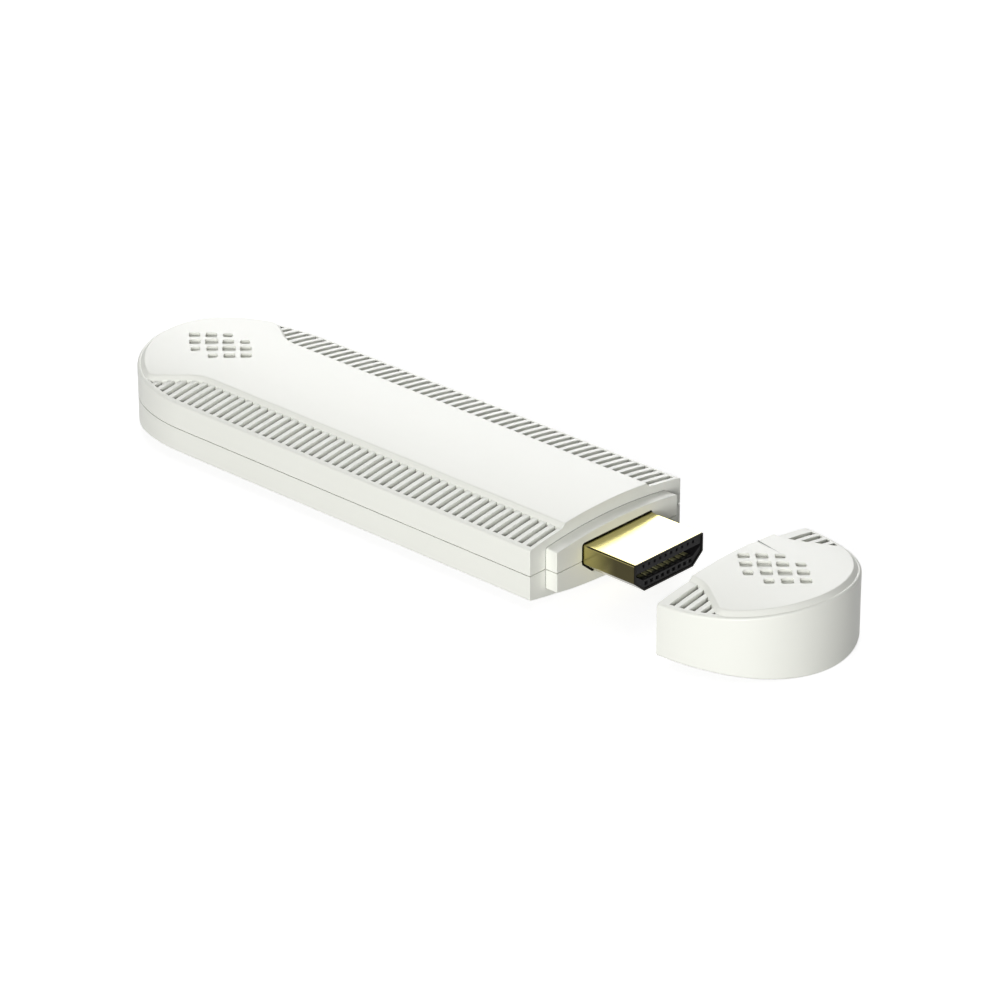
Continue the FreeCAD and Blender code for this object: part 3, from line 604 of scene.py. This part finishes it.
@dataclass(frozen=True)
class CoverForm:
    """Plan and skin of a grooved piece: flat end, straight sides and a round end of three arcs.

    Along is the distance from the end of the straight sides, and grows into the round end.
    """

    base_x: float
    direction: int
    straight: float
    round_length: float
    shoulder: float
    bend_place: float
    groove_start: float
    dimple_place: float
    body_top: float
    groove: Recess
    dimple: Recess = Recess(0.47, 0.04, 0.06, draft=0.01, over=1.0)
    half_width: float = 15.28
    strip_width: float = 6.36
    bend_angle: float = 34.2
    bend_radius: float = 5.6
    crown_radius: float = 82.0
    panel_rise: float = 0.58
    panel_slope: float = 0.62
    groove_pitch: float = 1.525
    groove_width: float = 0.77
    groove_margin: float = 0.77
    groove_bite: float = 0.08
    groove_reach: float = 8.4
    groove_corner: float = 0.045
    ramp_run: float = 1.0
    least_floor: float = 0.08
    shortest_groove: float = 0.15
    narrowest_groove: float = 0.255
    dimple_pitch: Pair = (1.79, 1.63)
    dimple_corner: float = 0.45
    dimple_play: float = 0.02
    dimple_sides: tuple[float, ...] = (1.90, 1.66, 1.38)
    dimple_tip_side: float = 1.58
    longest_row: int = 4
    step: float = 0.01
    # Bounds of the areas whose edges the cutters shape: the strips, and half the dimples' length and width.
    strip_bite: float = 0.24
    strip_margin: float = 0.6
    dimple_field: Pair = (7.2, 4.9)

    def outer_y(self, along: float, inset: float) -> float:
        """Half width of the outline, drawn in all round.

        Args:
            along: Place along the piece.
            inset: How far the outline is drawn in.

        Returns:
            The half width.
        """
        nose = self.half_width - self.shoulder
        centre = self.round_length - nose
        flank = (self.half_width ** 2 + centre ** 2 - nose ** 2) / (2 * (self.half_width - nose))
        if along <= 0:
            return self.half_width - inset
        flank_y = flank - self.half_width
        turn = math.atan2(centre, flank_y)
        if along < centre + (nose - inset) * math.sin(turn):
            return math.sqrt((flank - inset) ** 2 - along ** 2) - flank_y
        return math.sqrt(max(0.0, (nose - inset) ** 2 - (along - centre) ** 2))

    def inner_y(self, along: float, bite: float) -> float:
        """Distance from the middle line to the raised panel's foot.

        Args:
            along: Place along the piece.
            bite: How far the foot is moved in towards the middle.

        Returns:
            The distance.
        """
        angle = math.radians(self.bend_angle)
        edge = self.half_width - self.strip_width - bite
        radius = self.bend_radius + bite
        bend = self.bend_place + bite * math.tan(angle / 2)
        tangent = radius * math.tan(angle / 2)
        start = bend - tangent
        if along <= start:
            return edge
        if along < bend + tangent * math.cos(angle):
            return edge + radius - math.sqrt(radius ** 2 - (along - start) ** 2)
        return edge + (along - bend) * math.tan(angle)

    def slant(self, along: float) -> float:
        """Cosine of the foot's angle to the stick's length."""
        rise = self.inner_y(along + self.step, 0.0) - self.inner_y(along, 0.0)
        return self.step / math.hypot(self.step, rise)

    def crown(self, y: float) -> float:
        """Height of the crowned side strips, carried on across the middle."""
        low = self.body_top - self.panel_rise - self.crown_radius
        return low + math.sqrt(self.crown_radius ** 2 - y ** 2)

    def skin(self, x: float, y: float) -> float:
        """Height of the outside: the strips, the slope or the raised panel.

        Args:
            x: Place along the stick.
            y: Place across the stick.

        Returns:
            The height.
        """
        along = self.direction * (x - self.base_x)
        inside = (self.inner_y(along, 0.0) - abs(y)) * self.slant(along)
        climb = inside - self.panel_slope + self.panel_rise
        return self.crown(y) + max(0.0, min(self.panel_rise, climb))

    def groove_span(self, centre: float) -> Pair | None:
        """Finds where one groove starts and ends along the piece. The last ones are narrower.

        Args:
            centre: Place of its middle along the piece.

        Returns:
            Its start and end, or none where the strip has no room for it.
        """
        first = centre - self.groove_width / 2
        last = centre + self.groove_width / 2
        while last > first:
            room = self.outer_y(last, self.groove_margin) - self.inner_y(last, self.groove_bite)
            if room > self.shortest_groove:
                break
            last -= self.step
        return (first, last) if last > first + self.narrowest_groove else None

    def groove_ring(self, span: Pair, side: int, ring: Ring) -> list[Vector]:
        """Outline of one groove at one level. Its inner end draws out into a ramp with the depth.

        Args:
            span: Where the groove starts and ends along the piece.
            side: 1 for the side strip with the higher Y, -1 for the other.
            ring: The level.

        Returns:
            The outline's points.
        """
        ends = []
        for along in (span[0] - ring.spread, span[1] + ring.spread):
            x = self.base_x + self.direction * along
            outer_y = self.outer_y(along, self.groove_margin - ring.spread)
            foot = self.inner_y(along, self.groove_bite + ring.spread - ring.depth * self.ramp_run)
            inner = Vector((x, side * min(foot, outer_y - self.least_floor)))
            outer = Vector((x, side * outer_y))
            # Each corner takes a third of the groove's length at most.
            radius = min(self.groove_corner + ring.spread, (outer - inner).length / 3)
            ends.append(((inner, radius), (outer, radius)))
        (first_inner, first_outer), (last_inner, last_outer) = ends
        return filleted([first_inner, last_inner, last_outer, first_outer], self.groove.steps)

    def dimple_ring(self, middle: Pair, side: float, ring: Ring) -> list[Vector]:
        """Outline of one diamond dimple at one level.

        Args:
            middle: Place of its middle along and across the stick.
            side: Length of its sides.
            ring: The level.

        Returns:
            The outline's points.
        """
        x, y = middle
        reach = side / math.sqrt(2) + self.dimple_play + ring.spread * math.sqrt(2)
        radius = self.dimple_corner + ring.spread
        corners = [(x + reach, y), (x, y + reach), (x - reach, y), (x, y - reach)]
        return filleted([(Vector(corner), radius) for corner in corners], self.dimple.steps)

    def add_recess(self, work: bmesh.types.BMesh, recess: Recess, outline: Callable[[Ring], list[Vector]],
                   base: float) -> None:
        """Adds the cutter for one recess to a mesh.

        Args:
            work: The mesh of all cutters.
            recess: Its sizes.
            outline: Gives its outline at a level.
            base: Height of the flat that its floor lies under, over the crown.
        """
        loops = []
        for ring in recess.rings():
            points = outline(ring)
            if sum(a.x * b.y - b.x * a.y for a, b in zip(points, points[1:] + points[:1])) < 0:
                points.reverse()
            loop = []
            for point in points:
                ground = self.skin(point.x, point.y) if ring.on_skin else self.crown(point.y) + base
                loop.append(work.verts.new((point.x * MM, point.y * MM, (ground + ring.height) * MM)))
            loops.append(loop)
        join_loops(work, loops)
        work.faces.new(loops[0])
        work.faces.new(list(reversed(loops[-1])))

    def add_grooves(self, work: bmesh.types.BMesh) -> None:
        """Adds the cutters for the grooves of both side strips.

        Args:
            work: The mesh of all cutters.
        """
        centre = self.groove_start - self.straight
        while centre < self.groove_reach:
            span = self.groove_span(centre)
            centre += self.groove_pitch
            if span is None:
                continue
            for side in (-1, 1):
                self.add_recess(work, self.groove, partial(self.groove_ring, span, side), 0.0)

    def add_dimples(self, work: bmesh.types.BMesh) -> None:
        """Adds the cutters for the diamond field of fourteen dimples. They are smaller towards its corners.

        Args:
            work: The mesh of all cutters.
        """
        last_row = len(self.dimple_sides) - 1
        for row in range(-last_row, last_row + 1):
            count = self.longest_row - abs(row)
            for number in range(count):
                is_tip = row == 0 and number in (0, count - 1)
                side = self.dimple_tip_side if is_tip else self.dimple_sides[abs(row)]
                along = self.dimple_place + self.dimple_pitch[0] * (2 * number - count + 1)
                middle = (self.base_x + self.direction * along, row * self.dimple_pitch[1])
                self.add_recess(work, self.dimple, partial(self.dimple_ring, middle, side), self.panel_rise)

    def has_recess_at(self, x: float, y: float) -> bool:
        """Tells where the cutters shape the edges: on the grooved strips and among the dimples.

        Args:
            x: Place along the stick.
            y: Place across the stick.

        Returns:
            True where they do.
        """
        along = self.direction * (x - self.base_x)
        across = abs(y)
        on_strip = self.inner_y(along, self.strip_bite) < across < self.outer_y(along, self.strip_margin)
        field_length, field_width = self.dimple_field
        near_dimples = abs(along - self.dimple_place) < field_length and across < field_width
        return on_strip or near_dimples


@dataclass
class Moulding:
    """One white moulding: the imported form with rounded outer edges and, where it has a form, soft recesses.

    The openings are the boxes of the plug and the power socket, in metres.
    """

    node: str
    body: str
    form: CoverForm | None = None
    weld: float = 0.001
    sliver: float = 0.0005
    flat_angle: float = 0.2
    edge_radius: float = 0.12
    edge_steps: int = 3
    edge_profile: float = 0.5
    face_weight: int = 80
    sharp_angle: float = 24.0
    smooth_angle: float = 32.0
    shortest_edge: float = 0.06
    parting_room: float = 0.45
    opening_room: float = 0.9
    look_out: float = 0.02
    openings: list[tuple[Vector, Vector]] = field(
        default_factory=lambda: [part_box("plug_shell"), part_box("power_socket_shell")])

    def packed_mesh(self) -> bmesh.types.BMesh:
        """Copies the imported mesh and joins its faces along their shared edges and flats.

        Returns:
            The working mesh.
        """
        work = bmesh.new()
        work.from_mesh(frame["nodes"][self.node].data)
        bmesh.ops.remove_doubles(work, verts=work.verts, dist=self.weld * MM)
        bmesh.ops.dissolve_degenerate(work, edges=work.edges, dist=self.sliver * MM)
        bmesh.ops.dissolve_limit(work, angle_limit=math.radians(self.flat_angle), verts=work.verts,
                                 edges=work.edges)
        work.normal_update()
        return work

    def stays_sharp(self, place: Vector) -> bool:
        """Tells which edges keep their packed form.

        They lie near the parting line, on what reaches into the other cover, at the openings and where the
        cutters shape the edges.

        Args:
            place: Middle of an edge, in metres.

        Returns:
            True for an edge that isn't to be rounded.
        """
        if abs(place.z - PARTING_Z) < self.parting_room * MM:
            return True
        above = place.z > PARTING_Z
        if self.node == ("bottom_cover" if above else "top_cover"):
            return True
        room = Vector((self.opening_room, self.opening_room, self.opening_room)) * MM
        for low, high in self.openings:
            if all(a < b < c for a, b, c in zip(low - room, place, high + room)):
                return True
        return self.form is not None and above and self.form.has_recess_at(place.x / MM, place.y / MM)

    def outside_edges(self, work: bmesh.types.BMesh) -> list[bmesh.types.BMEdge]:
        """Finds the sharp outer edges that are to be rounded.

        Args:
            work: The working mesh.

        Returns:
            The edges.
        """
        tree = BVHTree.FromBMesh(work)
        chosen = []
        for edge in work.edges:
            if len(edge.link_faces) != 2 or not edge.is_convex:
                continue
            if edge.calc_face_angle() < math.radians(self.sharp_angle):
                continue
            middle = (edge.verts[0].co + edge.verts[1].co) / 2
            if self.stays_sharp(middle):
                continue
            way = (edge.link_faces[0].normal + edge.link_faces[1].normal).normalized()
            start = middle + way * self.look_out * MM
            if all(tree.ray_cast(start, face.normal)[0] is None for face in edge.link_faces):
                chosen.append(edge)
        return chosen

    def soften(self, work: bmesh.types.BMesh) -> None:
        """Rounds the sharp outer edges.

        Args:
            work: The working mesh.
        """
        ends = {vertex for edge in self.outside_edges(work) for vertex in edge.verts}
        corners = [vertex for vertex in work.verts if vertex in ends]
        bmesh.ops.remove_doubles(work, verts=corners, dist=self.shortest_edge * MM)
        work.normal_update()
        bmesh.ops.bevel(work, geom=self.outside_edges(work), offset=self.edge_radius * MM,
                        offset_type="OFFSET", segments=self.edge_steps, profile=self.edge_profile,
                        affect="EDGES", clamp_overlap=False)

    def carve(self, piece: bpy.types.Object) -> None:
        """Cuts the soft grooves and dimples into the piece.

        Args:
            piece: The piece.
        """
        work = bmesh.new()
        self.form.add_grooves(work)
        self.form.add_dimples(work)
        name = self.node + "_cutters"
        tool = add_object(name, finished_mesh(work, name))
        modifier = piece.modifiers.new("recesses", "BOOLEAN")
        modifier.operation = "DIFFERENCE"
        modifier.solver = "EXACT"
        modifier.object = tool
        graph = bpy.context.evaluated_depsgraph_get()
        carved = bpy.data.meshes.new_from_object(piece.evaluated_get(graph))
        piece.modifiers.clear()
        piece.data = carved
        bpy.data.objects.remove(tool)

    def smooth(self, piece: bpy.types.Object) -> None:
        """Shades gently curved faces as one and keeps sharp edges sharp.

        Args:
            piece: The piece.
        """
        work = bmesh.new()
        work.from_mesh(piece.data)
        for face in work.faces:
            face.smooth = True
        for edge in work.edges:
            if len(edge.link_faces) == 2:
                edge.smooth = edge.calc_face_angle() < math.radians(self.smooth_angle)
        work.to_mesh(piece.data)
        work.free()
        normals = piece.modifiers.new("weighted normals", "WEIGHTED_NORMAL")
        normals.keep_sharp = True
        normals.weight = self.face_weight

    def build(self, wardrobe: Wardrobe) -> bpy.types.Object:
        """Builds, dresses and mounts the moulding.

        Args:
            wardrobe: The finishes.

        Returns:
            The finished piece.
        """
        work = self.packed_mesh()
        self.soften(work)
        name = self.node + "_moulding"
        piece = add_object(name, finished_mesh(work, name))
        if self.form:
            self.carve(piece)
        self.smooth(piece)
        wardrobe.dress(piece, Slot.SHELL)
        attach(piece, self.body)
        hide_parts(self.node)
        return piece


@dataclass(frozen=True)
class Covers:
    """The stick's two covers and the cap, each placed by its packed box."""

    straight: float = 68.0
    round_length: float = 17.8
    groove: Recess = Recess(0.95, 0.03, 0.05)
    cap_groove: Recess = Recess(0.9, 0.03, 0.05)

    def build(self, wardrobe: Wardrobe) -> list[bpy.types.Object]:
        """Builds the three mouldings.

        Args:
            wardrobe: The finishes.

        Returns:
            The pieces.
        """
        low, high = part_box("top_cover")
        cap_low, cap_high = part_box("plug_cap")
        top = high.z / MM
        mouth_x = cap_low.x / MM
        stick = CoverForm(base_x=low.x / MM + self.round_length, direction=-1, straight=self.straight,
                          round_length=self.round_length, shoulder=0.58, bend_place=1.8, groove_start=0.98,
                          dimple_place=7.0, body_top=top, groove=self.groove)
        cap = CoverForm(base_x=mouth_x, direction=1, straight=0.0, round_length=cap_high.x / MM - mouth_x,
                        shoulder=0.78, bend_place=2.2, groove_start=1.86, dimple_place=7.15, body_top=top,
                        groove=self.cap_groove)
        mouldings = [
            Moulding("top_cover", "stick", stick),
            Moulding("bottom_cover", "stick"),
            Moulding("plug_cap", "cap", cap),
        ]
        return [moulding.build(wardrobe) for moulding in mouldings]


@dataclass(frozen=True)
class PlugGapShade:
    """Thin black sheet of painted shade that fills the gap between the plug and its hole in the neck."""

    side_height: float = 2.8
    bottom_width: float = 9.9
    edge_radius: float = 0.3
    play: float = 0.01
    gap: float = 0.24
    setback: float = 0.06
    length: float = 0.9
    lip: float = 0.05
    steps: int = 5

    def outline(self, grown: float) -> list[Vector]:
        """Outline of the plug's section, grown all round.

        Args:
            grown: How far it lies outside the plug.

        Returns:
            Points of the outline, with Y and Z as their two values.
        """
        (_, left, foot), (_, right, top) = (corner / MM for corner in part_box("plug_shell"))
        cut_y, cut_z = self.bottom_width / 2, top - self.side_height
        section = [(right, top), (left, top), (left, cut_z), (-cut_y, foot), (cut_y, foot), (right, cut_z)]
        corners = [Vector(corner) for corner in section]
        grown_corners = []
        for index, corner in enumerate(corners):
            before = (corner - corners[index - 1]).normalized()
            after = (corners[(index + 1) % len(corners)] - corner).normalized()
            first, second = Vector((before.y, -before.x)), Vector((after.y, -after.x))
            moved = corner + (first + second) * grown / (1 + first.dot(second))
            grown_corners.append((moved, self.edge_radius + grown))
        return filleted(grown_corners, self.steps)

    def build(self) -> bpy.types.Object:
        """Builds, dresses and mounts the black sheet of painted shade.

        Returns:
            The finished piece.
        """
        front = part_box("top_cover")[1].x / MM - self.setback
        back = front - self.length
        lip_x = front - self.lip
        rings = [(self.play, back), (self.gap, back), (self.gap, lip_x), (self.gap - self.lip, front),
                 (self.play + self.lip, front), (self.play, lip_x)]
        work = bmesh.new()
        loops = []
        for grown, x in rings:
            loops.append([work.verts.new((x * MM, y * MM, z * MM)) for y, z in self.outline(grown)])
        join_loops(work, loops + loops[:1])
        bmesh.ops.recalc_face_normals(work, faces=work.faces)
        # A black sheet of painted shade, in the gap round the plug.
        shade_sheet = add_object("plug_gap_shade", finished_mesh(work, "plug_gap_shade"))
        put_on(shade_sheet, GAP_SHADE_BLACK.make())
        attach(shade_sheet, "stick")
        return shade_sheet


class PackedNodes:
    """The CAD nodes. Plug, socket, button and electronics keep their packed form, and show it."""

    @staticmethod
    def dress(wardrobe: Wardrobe) -> list[bpy.types.Object]:
        """Gives each node, the replaced ones too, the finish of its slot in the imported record.

        Args:
            wardrobe: The finishes.

        Returns:
            The nodes.
        """
        nodes = []
        for part in frame["record"]["subparts"]:
            node = frame["nodes"][part["node"]]
            wardrobe.dress(node, Slot(part["material_slot"]))
            nodes.append(node)
        return nodes


@dataclass(frozen=True)
class Softbox:
    """One square lamp with a soft face, aimed at the middle of the object.

    The bearing turns from the plug's side, +X, towards +Y. Width and distance are in metres.
    """

    name: str
    bearing: float
    height: float
    width: float
    radiance: float
    distance: float = 0.9

    def hang(self, target: Vector) -> None:
        """Adds the lamp.

        Args:
            target: Point that the lamp looks at, in metres.
        """
        light = bpy.data.lights.new(self.name, "AREA")
        light.shape = "SQUARE"
        light.size = self.width
        light.energy = self.radiance * math.pi * self.width ** 2
        lamp = add_object(self.name, light)
        turn = math.radians(self.bearing)
        rise = math.radians(self.height)
        way = Vector((math.cos(turn) * math.cos(rise), math.sin(turn) * math.cos(rise), math.sin(rise)))
        lamp.location = target + way * self.distance
        lamp.rotation_mode = "QUATERNION"
        lamp.rotation_quaternion = way.to_track_quat("Z", "Y")
        lamp.visible_camera = False


BACK_BEARING = 132.7
LAMPS = (
    Softbox("key softbox", bearing=-58.5, height=14.0, width=0.40, radiance=12.5),
    Softbox("front softbox", bearing=-90.0, height=12.0, width=0.40, radiance=2.6),
    Softbox("low back softbox", bearing=BACK_BEARING, height=18.0, width=0.50, radiance=2.5),
    Softbox("middle back softbox", bearing=BACK_BEARING, height=32.0, width=0.50, radiance=2.9),
    Softbox("high back softbox", bearing=BACK_BEARING, height=50.0, width=0.50, radiance=1.1),
    Softbox("right softbox", bearing=10.0, height=20.0, width=0.50, radiance=0.3),
)


@dataclass(frozen=True)
class Studio:
    """Floor, lamps, surroundings and camera.

    The shifts say how far the middle of the stick's end face lies to the right of the picture's middle and
    above it. The floor's reach and the camera's clip start are in metres.
    """

    azimuth: float = 43.073
    elevation: float = 26.102
    roll: float = -0.0705
    distance: float = 650.8
    shift_right: float = 14.388
    shift_up: float = -5.337
    focal_pixels: float = 4801.57
    picture_pixels: float = 1000.0
    sensor: float = 36.0
    clip_start: float = 0.01
    neck_length: float = 2.08
    floor_reach: float = 3.0
    floor_colour: Colour = srgb(150, 150, 148)
    floor_roughness: float = 0.9
    floor_glow: float = 0.8
    floor_bright: Colour = (0.45, 0.45, 0.45)
    backdrop: float = 1.0
    ambient: float = 0.12

    def camera(self) -> None:
        """Places the camera where the photograph was taken from."""
        turn = math.radians(self.azimuth)
        rise = math.radians(self.elevation)
        roll = math.radians(self.roll)
        right = Vector((math.cos(turn), math.sin(turn), 0.0))
        back = Vector((math.sin(turn) * math.cos(rise), -math.cos(turn) * math.cos(rise), math.sin(rise)))
        up = back.cross(right)
        right, up = (right * math.cos(roll) + up * math.sin(roll),
                     up * math.cos(roll) - right * math.sin(roll))
        neck_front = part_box("top_cover")[1].x
        place = back * self.distance - right * self.shift_right - up * self.shift_up
        place += Vector((neck_front / MM - self.neck_length, 0.0, PARTING_Z / MM))
        data = bpy.data.cameras.new("camera")
        data.sensor_width = self.sensor
        data.lens = self.sensor * self.focal_pixels / self.picture_pixels
        data.clip_start = self.clip_start
        camera = add_object("camera", data)
        rotation = Matrix((right, up, back)).transposed().to_4x4()
        camera.matrix_world = Matrix.Translation(place * MM) @ rotation
        bpy.context.scene.camera = camera

    def floor(self) -> None:
        """Lays the pale floor, white to the camera but for the object's shadow."""
        reach = self.floor_reach
        corners = [(-reach, -reach, 0), (reach, -reach, 0), (reach, reach, 0), (-reach, reach, 0)]
        mesh = bpy.data.meshes.new("floor")
        mesh.from_pydata(corners, [], [(0, 1, 2, 3)])
        plane = add_object("floor", mesh)
        material = bpy.data.materials.new("pale floor")
        material.use_nodes = True
        sheet = NodeSheet(material.node_tree)
        pale = sheet.add("BsdfPrincipled",
                         {"Base Color": self.floor_colour, "Roughness": self.floor_roughness})
        glow = sheet.add("Emission", {"Color": WHITE, "Strength": self.floor_glow})
        bright = sheet.add("BsdfDiffuse", {"Color": self.floor_bright})
        both = sheet.add("AddShader", {0: glow.outputs[0], 1: bright.outputs[0]})
        choice = sheet.add("MixShader", {0: sheet.seen(), 1: pale.outputs[0], 2: both.outputs[0]})
        sheet.add("OutputMaterial", {"Surface": choice.outputs[0]})
        put_on(plane, material)

    def surroundings(self) -> None:
        """Makes the white backdrop and the dim light that fills the shadows."""
        world = bpy.data.worlds.new("studio")
        bpy.context.scene.world = world
        world.use_nodes = True
        sheet = NodeSheet(world.node_tree)
        white = sheet.add("Background", {"Color": WHITE, "Strength": self.backdrop})
        fill = sheet.add("Background", {"Color": WHITE, "Strength": self.ambient})
        choice = sheet.add("MixShader", {0: sheet.seen(), 1: fill.outputs[0], 2: white.outputs[0]})
        sheet.add("OutputWorld", {"Surface": choice.outputs[0]})

    def build(self) -> None:
        """Sets up the whole studio."""
        bpy.context.scene.view_settings.view_transform = "Standard"
        self.camera()
        self.floor()
        self.surroundings()
        low, high = CAD_BOX
        for lamp in LAMPS:
            lamp.hang((low + high) / 2)


def main() -> None:
    """Builds every sub-assembly in order, reports each piece and sets up the studio."""
    logging.basicConfig(level=logging.INFO, format="%(message)s")
    wardrobe = Wardrobe()
    pieces = Covers().build(wardrobe) + [PlugGapShade().build()] + PackedNodes.dress(wardrobe)
    for piece in pieces:
        LOG.info("%s: %d faces, %s", piece.name, len(piece.data.polygons), piece.active_material.name)
    Studio().build()


if __name__ == "__main__":
    main()
